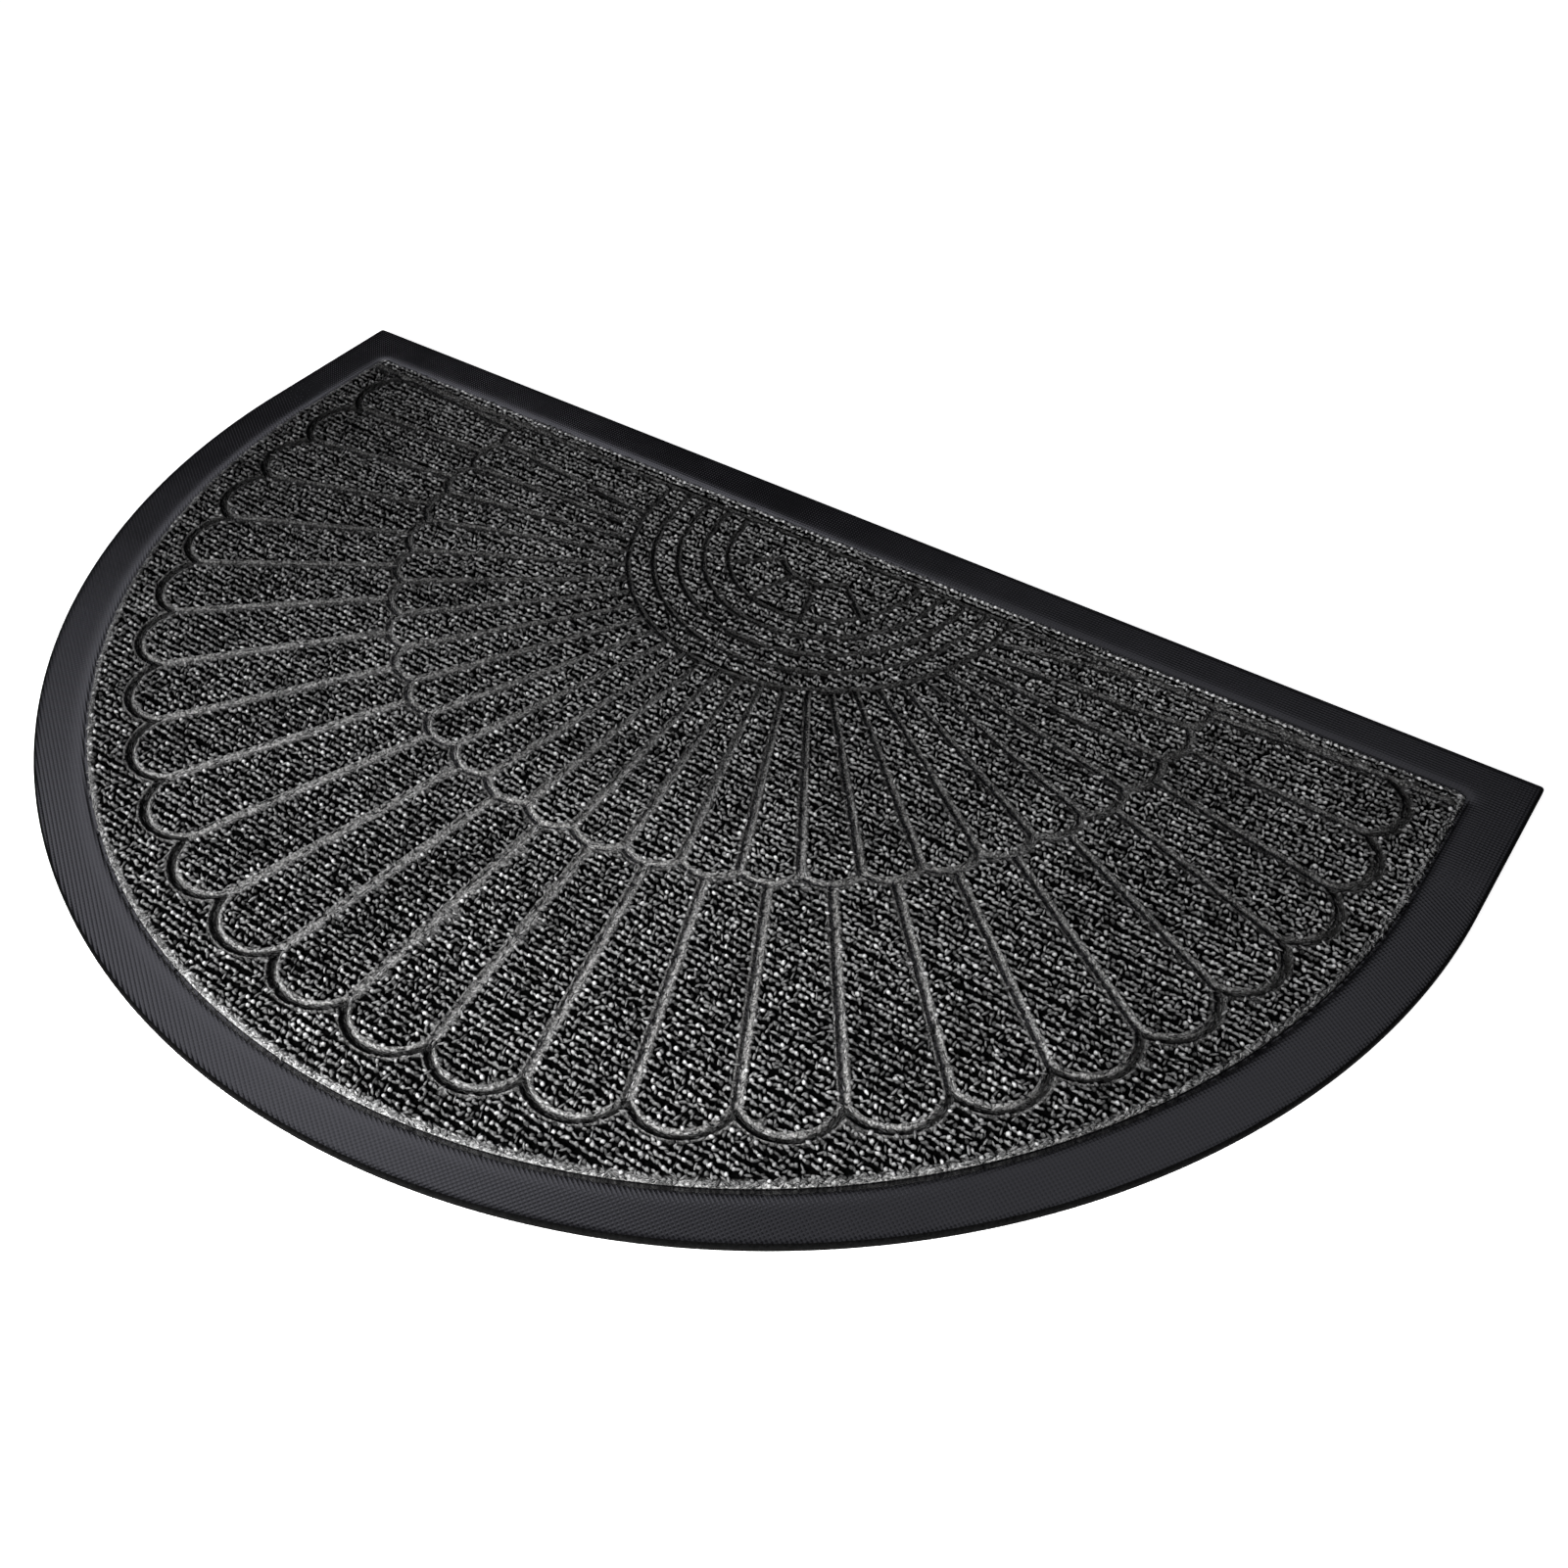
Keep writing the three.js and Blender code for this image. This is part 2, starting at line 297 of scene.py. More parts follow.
def half_round(half_width, back_y, arc_depth, corner):
    """Points round a half-round outline, anticlockwise from the right end of the arc."""
    side = np.linspace(ARC_Y, back_y - corner, SIDE_STEPS, endpoint=False)
    turn = np.linspace(0, math.pi / 2, CORNER_STEPS, endpoint=False)
    back = np.linspace(half_width - corner, corner - half_width, BACK_STEPS, endpoint=False)
    arc = np.linspace(math.pi, 2 * math.pi, ARC_STEPS, endpoint=False)
    right = np.stack([np.full(SIDE_STEPS, half_width), side], 1)
    right_turn = np.stack([half_width - corner + corner * np.cos(turn),
                           back_y - corner + corner * np.sin(turn)], 1)
    straight = np.stack([back, np.full(BACK_STEPS, back_y)], 1)
    left_turn = np.stack([corner - half_width - corner * np.sin(turn),
                          back_y - corner + corner * np.cos(turn)], 1)
    left = np.stack([np.full(SIDE_STEPS, -half_width), side[0] + back_y - corner - side], 1)
    front = np.stack([half_width * np.cos(arc), ARC_Y + arc_depth * np.sin(arc)], 1)
    return np.concatenate([right, right_turn, straight, left_turn, left, front])


def mat_outline(inset):
    """The mat's outline, drawn in by a distance."""
    radius = MAT_RADIUS - inset
    return half_round(radius, MAT_BACK_Y - inset, radius, max(MAT_CORNER - inset, LEAST_CORNER))


def pad_outline(inset):
    """The textile's outline, drawn in by a distance."""
    return half_round(PAD_HALF_WIDTH - inset, PAD_BACK_Y - inset, PAD_ARC_DEPTH - inset,
                      max(PAD_CORNER - inset, LEAST_CORNER))


def rim_distance(xy):
    """Distance of points inside the textile from its outline."""
    x, y = xy[:, 0], xy[:, 1]
    across = np.minimum(PAD_HALF_WIDTH - np.abs(x), PAD_BACK_Y - y)
    below = y - ARC_Y
    share = np.hypot(x / PAD_HALF_WIDTH, below / PAD_ARC_DEPTH)
    reach = np.hypot(x, below) / np.maximum(share, 1e-9)
    return np.where(below < 0, np.minimum((1 - share) * reach, PAD_BACK_Y - y), across)


# Pressed lines of the fan

def around(centre_y, radius, angle):
    """Point at a distance from a centre on the middle line, at an angle from straight ahead."""
    return np.stack([radius * np.sin(angle), centre_y - radius * np.cos(angle)], -1)


def straight_line(start, end):
    """Points along a straight line."""
    steps = max(2, int(np.linalg.norm(end - start) / LINE_SPACING))
    return start + np.linspace(0, 1, steps)[:, None] * (end - start)


def ring_line(centre_y, radius, reach):
    """Points along an arc about a centre on the middle line, to an angle on both sides."""
    steps = max(2, int(2 * reach * radius / LINE_SPACING))
    return around(centre_y, radius, np.linspace(-reach, reach, steps))


def scallop(start, end, bulge):
    """Points of the arc between two points that bulges to the right of the way between them."""
    chord = end - start
    half = np.linalg.norm(chord) / 2
    radius = (half * half + bulge * bulge) / (2 * bulge)
    right = np.array([chord[1], -chord[0]]) / (2 * half)
    centre = (start + end) / 2 + right * (bulge - radius)
    reach = math.asin(half / radius)
    steps = int(4 * half / LINE_SPACING)
    angle = math.atan2(right[1], right[0]) + np.linspace(-reach, reach, steps)
    return centre + radius * np.stack([np.cos(angle), np.sin(angle)], -1)


def tip_corner(index, outside=0.0):
    """Outer corner between two petals, or a point outside it; the last ones lie on the seam."""
    angle = index * PETAL_STEP
    lead = FOCUS_Y - ARC_Y
    reach = lead * math.cos(angle) + math.sqrt(TIP_RADIUS ** 2 - (lead * math.sin(angle)) ** 2)
    corner = around(FOCUS_Y, reach + outside, angle)
    if abs(index) == PETALS_PER_SIDE:
        corner[1] = SEAM_Y
    return corner


def before_seam(lines):
    """The parts of lines that lie in front of the seam."""
    return [line[line[:, 1] < SEAM_Y] for line in lines]


def petal_lines():
    """Lines of the two rings of petals."""
    lines = []
    last_ring = FIRST_RING + RING_STEP * (RING_COUNT - 1)
    for i in range(-PETALS_PER_SIDE, PETALS_PER_SIDE + 1):
        start = around(FOCUS_Y, MID_RADIUS, (i - 0.5) * PETAL_STEP)
        end = around(FOCUS_Y, MID_RADIUS, (i + 0.5) * PETAL_STEP)
        middle = scallop(start, end, MID_BULGE)
        lines.append(middle)
        lines.append(straight_line(middle[len(middle) // 2], tip_corner(i)))
        lines.append(straight_line(around(MEDALLION_Y, last_ring, (i + 0.5) * ROOT_STEP), end))
    for i in range(-PETALS_PER_SIDE, PETALS_PER_SIDE):
        lines.append(scallop(tip_corner(i), tip_corner(i + 1), TIP_BULGE))
    return lines


def margin_lines():
    """Lines that widen the channel outside the tips of the petals."""
    lines = []
    for i in range(-PETALS_PER_SIDE, PETALS_PER_SIDE):
        lines.append(scallop(tip_corner(i, TIP_MARGIN), tip_corner(i + 1, TIP_MARGIN), TIP_BULGE))
    return before_seam(lines)


def medallion_lines():
    """Lines of the half rings at the back and of the small fan inside them."""
    lines = []
    for i in range(RING_COUNT):
        lines.append(ring_line(MEDALLION_Y, FIRST_RING + RING_STEP * i, RING_REACH))
    lines.append(ring_line(MEDALLION_Y, CORE_RADIUS, CORE_STEP * CORE_PETALS / 2))
    for i in range(CORE_PETALS + 1):
        angle = (i - CORE_PETALS / 2) * CORE_STEP
        lines.append(straight_line(around(MEDALLION_Y, CORE_RADIUS, angle),
                                   around(MEDALLION_Y, FIRST_RING, angle)))
    return lines


def pressed_lines():
    """Points along every pressed line: the fan, the medallion and the seam at the back."""
    lines = before_seam(petal_lines() + medallion_lines()) + margin_lines()
    seam_end = np.array([PAD_HALF_WIDTH, SEAM_Y])
    lines.append(straight_line(seam_end * (-1, 1), seam_end))
    return [line for line in lines if len(line) > 2]


def line_sides(line):
    """Unit directions along a line, and square to it, at each of its points."""
    way = np.gradient(line, axis=0)
    way = way / np.linalg.norm(way, axis=1, keepdims=True)
    return way, np.column_stack([-way[:, 1], way[:, 0]])


def line_tree(runs):
    """Search tree over points along lines."""
    points = np.concatenate(runs)
    tree = KDTree(len(points))
    for i, (x, y) in enumerate(points):
        tree.insert((x, y, 0), i)
    tree.balance()
    return tree


def tree_distance(tree, xy):
    """Distance of points from the nearest point of a tree."""
    return np.array([tree.find((x, y, 0))[2] for x, y in xy])


def line_distance(xy):
    """Distance of points from the nearest pressed line."""
    return tree_distance(LINES, xy)


def line_width(xy):
    """Width of the pressed lines as a share of the widest: narrower towards the medallion."""
    reach = np.hypot(xy[:, 0], xy[:, 1] - FOCUS_Y)
    return from_least(INNER_WIDTH, smooth_step(reach, *WIDTH_REACH))


def pressed_distance(xy):
    """Distance of points from the nearest pressed line, scaled up where the lines are narrower."""
    return line_distance(xy) / line_width(xy)


def painted_felt_shade(xy):
    """Painted shade on the felt, from 0 to 1: a painted shadow in the margin outside the petals, and
    painted shade in the creases of the medallion.
    """
    margin = 1 - smooth_step(tree_distance(MARGINS, xy), *MARGIN_REACH)
    medallion = 1 - smooth_step(np.hypot(xy[:, 0], xy[:, 1] - MEDALLION_Y), *MEDALLION_REACH)
    return np.maximum(margin, MEDALLION_PAINTED_SHADE * medallion)


LINE_RUNS = pressed_lines()
LINES = line_tree(LINE_RUNS)
MARGINS = line_tree(margin_lines())


# Meshes from arrays

def make_piece(name, vertices, faces, material, maps=None, values=None):
    """A piece of the mat, with its texture maps by face corner and its values by vertex."""
    mesh = bpy.data.meshes.new(name)
    mesh.from_pydata(vertices, [], faces)
    for map_name, places in (maps or {}).items():
        layer = mesh.uv_layers.new(name=map_name)
        layer.data.foreach_set("uv", np.ascontiguousarray(places, np.float32).ravel())
    for value_name, numbers in (values or {}).items():
        attribute = mesh.attributes.new(value_name, "FLOAT", "POINT")
        attribute.data.foreach_set("value", np.ascontiguousarray(numbers, np.float32))
    mesh.shade_smooth()
    mesh.materials.append(material)
    piece = bpy.data.objects.new(name, mesh)
    bpy.context.scene.collection.objects.link(piece)
    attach(piece, "root")
    return piece


def plan_map(xy):
    """Places in a square map of points seen from above."""
    return 0.5 + xy / MAP_SPAN


# Materials

class Nodes:
    """Short names for making and joining a material's nodes."""

    def __init__(self, name):
        self.material = bpy.data.materials.new(name)
        self.material.use_nodes = True
        self.tree = self.material.node_tree
        self.shader = self.tree.nodes["Principled BSDF"]

    def new(self, kind, **settings):
        node = self.tree.nodes.new(kind)
        for key, value in settings.items():
            if key in node.inputs:
                self.put(value, node.inputs[key])
            else:
                setattr(node, key, value)
        return node

    def put(self, value, socket):
        if isinstance(value, bpy.types.NodeSocket):
            self.tree.links.new(value, socket)
        else:
            socket.default_value = value

    def math(self, operation, first, second=0.0):
        node = self.tree.nodes.new("ShaderNodeMath")
        node.operation = operation
        self.put(first, node.inputs[0])
        self.put(second, node.inputs[1])
        return node.outputs[0]

    def weighted(self, first, share, second, other_share):
        return self.math("ADD", self.math("MULTIPLY", first, share),
                         self.math("MULTIPLY", second, other_share))

    def value(self, name):
        return self.new("ShaderNodeAttribute", attribute_name=name).outputs["Fac"]

    def noise(self, coordinates, scale, detail=2.0, roughness=0.5):
        node = self.new("ShaderNodeTexNoise", Vector=coordinates, Scale=scale, Detail=detail,
                        Roughness=roughness)
        return node.outputs["Fac"]

    def ramp(self, fac, stops):
        node = self.tree.nodes.new("ShaderNodeValToRGB")
        self.put(fac, node.inputs["Fac"])
        elements = node.color_ramp.elements
        while len(elements) < len(stops):
            elements.new(0.5)
        for element, (place, colour) in zip(elements, stops):
            element.position = place
            element.color = (*colour, 1)
        return node.outputs["Color"]

    def greys(self, fac, stops):
        return self.ramp(fac, [(place, (level, level, level)) for place, level in stops])

    def blend(self, fac, first, second, kind="MIX"):
        node = self.new("ShaderNodeMix", data_type="RGBA", blend_type=kind)
        self.put(fac, node.inputs[0])
        self.put(first, node.inputs[6])
        self.put(second, node.inputs[7])
        return node.outputs[2]

    def bump(self, height, strength, distance):
        node = self.new("ShaderNodeBump", Strength=strength, Distance=distance, Height=height)
        self.put(node.outputs["Normal"], self.shader.inputs["Normal"])

    def set(self, **sockets):
        for name, value in sockets.items():
            self.put(value, self.shader.inputs[name.replace("_", " ")])


def object_place(nodes):
    """Coordinates of the piece itself, in metres."""
    return nodes.new("ShaderNodeTexCoord").outputs["Object"]


def yarn_material():
    """Heather yarn: dark and light fibres, darker towards the roots of the strands, partly the yarn's
    own dark root, partly painted shade between the strands.
    """
    nodes = Nodes("looped_yarn")
    place = object_place(nodes)
    fibre = nodes.noise(place, YARN_FIBRE, 3, 0.6)
    patch = nodes.math("SUBTRACT", nodes.noise(place, YARN_PATCH), 0.5)
    mixed = nodes.weighted(nodes.value("tone"), TONE_SHARE, fibre, FIBRE_SHARE)
    mixed = nodes.math("ADD", mixed, nodes.math("MULTIPLY", patch, PATCH_SHARE))
    # Darker towards each strand's root: partly the yarn's own dark root, partly painted shade
    tip = nodes.math("POWER", nodes.value("tip"), TIP_POWER)
    colour = nodes.blend(tip, ROOT_PAINTED_SHADE, nodes.greys(mixed, YARN_GREYS))
    nodes.set(Base_Color=colour, Roughness=0.9, Specular_IOR_Level=0.0)
    nodes.bump(nodes.noise(place, YARN_FUZZ), 0.5, 0.3 * MM)
    return nodes.material


def ground_material():
    """Backing cloth between the loops, near black as partly its own dark colour, partly painted shade,
    with felted fibres along the pressed lines and the rim.
    """
    nodes = Nodes("felted_ground")
    place = object_place(nodes)
    fibre = nodes.noise(place, FELT_FIBRE, 4, 0.65)
    tint = nodes.math("MULTIPLY", nodes.noise(place, FELT_PATCH), TINT_SHARE)
    # Paler felt towards the front: partly wear, partly painted light falling off towards the back
    felt = nodes.blend(nodes.value("wear_and_light"), nodes.greys(fibre, BACK_FELT),
                       nodes.greys(fibre, FRONT_FELT))
    # Painted shade: the felt made dark in the channel outside the tips and in the medallion's creases
    felt = nodes.blend(nodes.value("painted_shade"), felt, nodes.greys(fibre, PAINTED_SHADE_FELT))
    felt = nodes.blend(tint, felt, TINT_COLOUR, "OVERLAY")
    # Rim fuzz, paler at the front: partly wear, partly painted highlight
    felt = nodes.blend(nodes.value("rim"), felt, nodes.greys(fibre, RIM_FUZZ))
    # Near-black backing between the loops: partly its own colour, partly painted shade
    colour = nodes.blend(nodes.value("press"), nodes.greys(fibre, BACKING_AND_SHADE), felt)
    nodes.set(Base_Color=colour, Roughness=0.95, Specular_IOR_Level=0.0)
    nodes.bump(fibre, 0.6, 0.5 * MM)
    return nodes.material


def imprint_height(nodes, place):
    """Height of the cloth imprint, about 0 to 1: slanted lines round the arc, a check at the back."""
    parts = nodes.new("ShaderNodeSeparateXYZ", Vector=place)
    turn = 2 * math.pi / IMPRINT_PITCH
    across = nodes.math("MULTIPLY", parts.outputs["X"], turn)
    along = nodes.math("MULTIPLY", parts.outputs["Y"], turn)
    sin, cos = math.sin(IMPRINT_SLANT), math.cos(IMPRINT_SLANT)
    slanted = nodes.math("SINE", nodes.weighted(across, sin, along, cos))
    crossing = nodes.math("SINE", nodes.weighted(across, cos, along, -sin))
    slant = nodes.weighted(slanted, SLANTED_SHARE, crossing, CROSSING_SHARE)
    check = nodes.math("ADD", nodes.math("SINE", across), nodes.math("SINE", along))
    check = nodes.math("MULTIPLY", check, CHECK_SHARE)
    back = nodes.new("ShaderNodeMapRange", interpolation_type="SMOOTHSTEP", Value=parts.outputs["Y"],
                     **{"From Min": CHECK_FROM, "From Max": CHECK_FULL}).outputs["Result"]
    lines = nodes.weighted(slant, nodes.math("SUBTRACT", 1.0, back), check, back)
    return nodes.math("ADD", nodes.math("MULTIPLY", lines, 0.5), 0.5)


def rubber_material():
    """Satin black rubber with the fine imprint of a cloth."""
    nodes = Nodes("moulded_rubber")
    place = object_place(nodes)
    height = imprint_height(nodes, place)
    dust = nodes.noise(place, RUBBER_DUST, 4, 0.6)
    crest = nodes.ramp(dust, RUBBER_COLOURS)
    # Painted shade in the imprint's valleys; the dust-mottled colour stays on the crests
    valley = nodes.blend(1.0, crest, VALLEY_PAINTED_SHADE, "MULTIPLY")
    rough = nodes.weighted(dust, DUST_ROUGHNESS, nodes.math("SUBTRACT", 1.0, height), VALLEY_ROUGHNESS)
    nodes.set(Base_Color=nodes.blend(height, valley, crest), Specular_IOR_Level=1.0,
              Roughness=nodes.math("ADD", rough, CREST_ROUGHNESS))
    nodes.bump(height, 1.0, IMPRINT_DEPTH)
    return nodes.material


def edge_material():
    """Matt black cut edge of the rubber."""
    nodes = Nodes("rubber_edge")
    grain = nodes.noise(object_place(nodes), EDGE_GRAIN, 3, 0.6)
    nodes.set(Base_Color=nodes.greys(grain, EDGE_GREYS), Roughness=0.9, Specular_IOR_Level=0.03)
    nodes.bump(grain, 0.3, 0.1 * MM)
    return nodes.material


# Rubber base

def rubber_rings():
    """Rings of the rubber from its underside to the recess: outline, height, and outline in the map."""
    rings = []
    for inset, height, flare in FOOT_RINGS:
        rings.append((mat_outline(inset * MM), height * MM, mat_outline(-flare * MM)))
    for inset, drop, flare in EDGE_RINGS:
        rings.append((mat_outline(inset * MM), RUBBER_TOP - drop * MM, mat_outline(-flare * MM)))
    start = rings[-1][0]
    end = pad_outline(-LIP_RINGS[0][0] * MM)
    for share in np.linspace(0, 1, BORDER_STRIPS + 1)[1:-1]:
        between = start + share * (end - start)
        rings.append((between, RUBBER_TOP, between))
    for outside, drop in LIP_RINGS:
        lip = pad_outline(-outside * MM)
        rings.append((lip, RUBBER_TOP - drop * MM, lip))
    return rings


def strip_faces(ring_count, side_count):
    """Four-sided faces between neighbouring closed rings."""
    ring = np.arange(ring_count - 1)[:, None] * side_count
    here = np.arange(side_count)[None, :]
    after = (here + 1) % side_count
    above = ring + side_count
    faces = np.stack([ring + here, ring + after, above + after, above + here], -1)
    return faces.reshape(-1, 4)


def rubber_base():
    """The moulded base: rounded edge, flat border and recess, closed above and below."""
    rings = rubber_rings()
    sides = len(rings[0][0])
    vertices = np.concatenate([np.column_stack([xy, np.full(sides, z)]) for xy, z, _ in rings])
    strips = strip_faces(len(rings), sides)
    under = np.arange(sides)[::-1]
    recess = np.arange((len(rings) - 1) * sides, len(rings) * sides)
    faces = strips.tolist() + [under.tolist(), recess.tolist()]
    seen = np.concatenate([flat for _, _, flat in rings])[strips.ravel()]
    hidden = np.array([0, HIDDEN_PLACE * MAP_SPAN]) + vertices[recess, :2] * HIDDEN_SCALE
    flat = np.concatenate([seen, vertices[under, :2] * UNDERSIDE_SCALE, hidden])
    piece = make_piece("rubber_moulding", vertices, faces, rubber_material(),
                       {"OFBake": plan_map(flat)})
    piece.data.materials.append(edge_material())
    index = np.zeros(len(faces), int)
    index[:WALL_STRIPS * sides] = 1
    piece.data.polygons.foreach_set("material_index", index)
    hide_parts("rubber_base")


# Textile

def ground_height(line_gap, rim_gap):
    """Height of the ground by distance from the pressed lines and from the rim."""
    level = LINE_Z + (SLOPE_Z - LINE_Z) * smooth_step(line_gap, LINE_FLOOR, LINE_SLOPE)
    level = level + (GROUND_Z - SLOPE_Z) * smooth_step(line_gap, LINE_SLOPE, LINE_REACH)
    inward = np.clip(rim_gap / RIM_WIDTH, 0, 1)
    return RIM_Z + (level - RIM_Z) * np.sqrt(1 - (1 - inward) ** 2)


def felted_line(line_gap):
    """How far the fibres are pressed into felt along a line, from 0 to 1."""
    return 1 - smooth_step(line_gap, *LINE_FELT)


def felted_rim(rim_gap):
    """How far the fibres are pressed into felt at the rim, from 0 to 1."""
    return 1 - smooth_step(rim_gap, *RIM_FELT)


def worn_and_lit_rim(xy):
    """How pale the rim is: most at the middle of the front, partly wear, partly a painted highlight
    where the front shoulder faces the key.
    """
    front = np.exp(-(xy[:, 0] / RIM_PALE_REACH) ** 2) * (xy[:, 1] < ARC_Y)
    return from_least(LEAST_RIM_PALE, front)


def worn_and_lit_face(xy):
    """How pale the face is, from 0 to 1: most at the front, partly wear where it is trodden, partly
    painted light that falls off away from the front key.
    """
    return 1 - smooth_step(xy[:, 1], *FACE_PALE_SPAN)


def grid_points(spacing, rng):
    """Points of a loose square grid over the textile's box."""
    x = np.arange(-PAD_HALF_WIDTH, PAD_HALF_WIDTH, spacing)
    y = np.arange(ARC_Y - PAD_ARC_DEPTH, PAD_BACK_Y, spacing)
    points = np.stack(np.meshgrid(x, y), -1).reshape(-1, 2)
    return points + rng.uniform(-GRID_JITTER, GRID_JITTER, points.shape) * spacing


def line_points():
    """Points of the ground along the pressed lines and at set distances beside them."""
    columns = []
    for line in LINE_RUNS:
        _, across = line_sides(line)
        for offset in LINE_OFFSETS:
            for side in (-1, 1) if offset else (1,):
                column = (line + side * offset * across)[::LINE_POINT_STEP]
                columns.append(column[line_distance(column) > offset - COLUMN_ROOM])
    return np.concatenate(columns)


def ground_points(rng):
    """Points of the ground: rings at the rim, columns along the pressed lines, and a grid between."""
    rings = [pad_outline(inset) for inset in RIM_INSETS]
    inner_edge = RIM_INSETS[-1] + RIM_ROOM
    fine = grid_points(FINE_SPACING, rng)
    fine_gap = line_distance(fine)
    fine = fine[(fine_gap > LINE_OFFSETS[-1] + GRID_ROOM) & (fine_gap < FINE_REACH)]
    coarse = grid_points(COARSE_SPACING, rng)
    coarse = coarse[line_distance(coarse) > COARSE_FROM]
    inner = np.concatenate([line_points(), fine, coarse])
    return np.concatenate(rings + [inner[rim_distance(inner) > inner_edge]])


def textile_ground(rng):
    """The textile's ground: a closed flat sheet with the fan pressed into its face."""
    points = ground_points(rng)
    sides = len(pad_outline(0))
    triangles = delaunay_2d_cdt([Vector(p) for p in points / MM], [], [], 0, MERGE_DISTANCE_MM)
    xy = np.array([v[:] for v in triangles[0]]) * MM
    where = {old: new for new, group in enumerate(triangles[3]) for old in group}
    rim = np.array([where[i] for i in range(sides)])
    line_gap, rim_gap = pressed_distance(xy), np.maximum(rim_distance(xy), 0)
    rim_gap[rim] = 0
    top = np.column_stack([xy, ground_height(line_gap, rim_gap)])
    foot = np.column_stack([xy[rim], np.full(sides, PAD_BOTTOM)])
    under = len(top) + np.arange(sides)
    after = np.roll(np.arange(sides), -1)
    wall = np.column_stack([rim[after], rim, under, under[after]])
    faces = [list(f) for f in triangles[2]]
    corners = np.concatenate([np.concatenate(faces), wall.ravel()])
    flat = np.concatenate([xy, pad_outline(-WALL_FLARE)])[corners]
    hidden = np.array([0, HIDDEN_PLACE * MAP_SPAN]) + foot[::-1, :2] * HIDDEN_SCALE
    faces += wall.tolist() + [under[::-1].tolist()]
    rim_felt = felted_rim(rim_gap)
    values = {"press": np.concatenate([np.maximum(felted_line(line_gap), rim_felt), np.ones(sides)]),
              # Rim fuzz, with its painted highlight at the front
              "rim": np.concatenate([rim_felt * worn_and_lit_rim(xy), np.zeros(sides)]),
              # Pale of wear and painted light on the face
              "wear_and_light": np.concatenate([worn_and_lit_face(xy), np.zeros(sides)]),
              # Painted shade on the felt
              "painted_shade": np.concatenate([painted_felt_shade(xy), np.zeros(sides)])}
    piece = make_piece("textile_ground", np.concatenate([top, foot]), faces, ground_material(),
                       {"OFBake": plan_map(np.concatenate([flat, hidden]))}, values)
    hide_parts("textile_pad")
    return piece


def strand_arrays(strands, rng):
    """Vertices, faces, map and values of short strands, each a closed mound with its own map cell."""
    count = len(strands["xy"])
    turn = np.arange(STRAND_SIDES) * 2 * math.pi / STRAND_SIDES
    circle = np.stack([np.cos(turn), np.sin(turn)], -1)
    flat = np.concatenate([circle * r for r, _, _ in STRAND_RINGS] + [np.zeros((1, 2))])
    lift = np.concatenate([np.full(STRAND_SIDES, z) for _, z, _ in STRAND_RINGS] + [np.ones(1)])
    spread = np.concatenate([circle * m for _, _, m in STRAND_RINGS] + [np.zeros((1, 2))])
    ragged = 1 + rng.normal(0, STRAND_RAGGED, (count, len(flat), 1))
    local = flat[None] * strands["size"][:, None] / 2 * ragged
    cos, sin = np.cos(strands["angle"])[:, None], np.sin(strands["angle"])[:, None]
    shape = np.stack([local[..., 0] * cos - local[..., 1] * sin,
                      local[..., 0] * sin + local[..., 1] * cos], -1)
    lean = rng.normal(0, STRAND_LEAN, (count, 1, 2))
    place = strands["xy"][:, None] + shape + lean * lift[None, :, None]
    height = strands["foot"][:, None] + (strands["top"] - strands["foot"])[:, None] * lift[None]
    vertices = np.concatenate([place, height[..., None]], -1).reshape(-1, 3)
    n = STRAND_SIDES
    here, after = np.arange(n), (np.arange(n) + 1) % n
    low = np.arange(1, n - 1)
    pattern = np.concatenate([np.stack([here, after, n + after], -1),
                              np.stack([here, n + after, n + here], -1),
                              np.stack([n + here, n + after, np.full(n, 2 * n)], -1),
                              np.stack([np.zeros(n - 2, int), low + 1, low], -1)])
    faces = (pattern[None] + np.arange(count)[:, None, None] * len(flat)).reshape(-1, 3)
    corner = spread[pattern]
    corner[-(n - 2):] = corner[-(n - 2):] * HIDDEN_SCALE + HIDDEN_PLACE
    cells = math.ceil(math.sqrt(count))
    cell = np.stack(np.divmod(np.arange(count), cells), -1)
    places = (cell[:, None, None] + 0.5 + corner[None]) / cells
    values = {"tip": np.tile(lift, count), "tone": np.repeat(strands["tone"], len(flat))}
    return vertices, faces, places.reshape(-1, 2), values


def strand_piece(name, strands, material, rng):
    """One piece made of many short strands."""
    vertices, faces, places, values = strand_arrays(strands, rng)
    piece = make_piece(name, vertices, faces.tolist(), material, {"OFBake": places}, values)
    return piece


def chosen_strands(strands, chosen):
    """Some of the strands, by a mask or by numbers."""
    return {key: numbers[chosen] for key, numbers in strands.items()}


def joined_strands(first, second):
    """Two sets of strands as one."""
    return {key: np.concatenate([first[key], second[key]]) for key in first}


def row_places(rng):
    """Middles of the loops, in rows along the back edge."""
    rows = np.arange(PAD_BACK_Y - FIRST_ROW_INSET, ARC_Y - PAD_ARC_DEPTH, -ROW_PITCH)
    columns = np.arange(-PAD_HALF_WIDTH, PAD_HALF_WIDTH, LOOP_PITCH)
    x, y = np.meshgrid(columns, rows)
    x = x + rng.uniform(-ROW_SHIFT, ROW_SHIFT, (len(rows), 1)) * LOOP_PITCH
    phase = rng.uniform(0, 2 * math.pi, (len(rows), 1))
    y = y + ROW_WAVE * np.sin(x / ROW_WAVE_LENGTH + phase)
    return np.stack([x, y], -1).reshape(-1, 2)


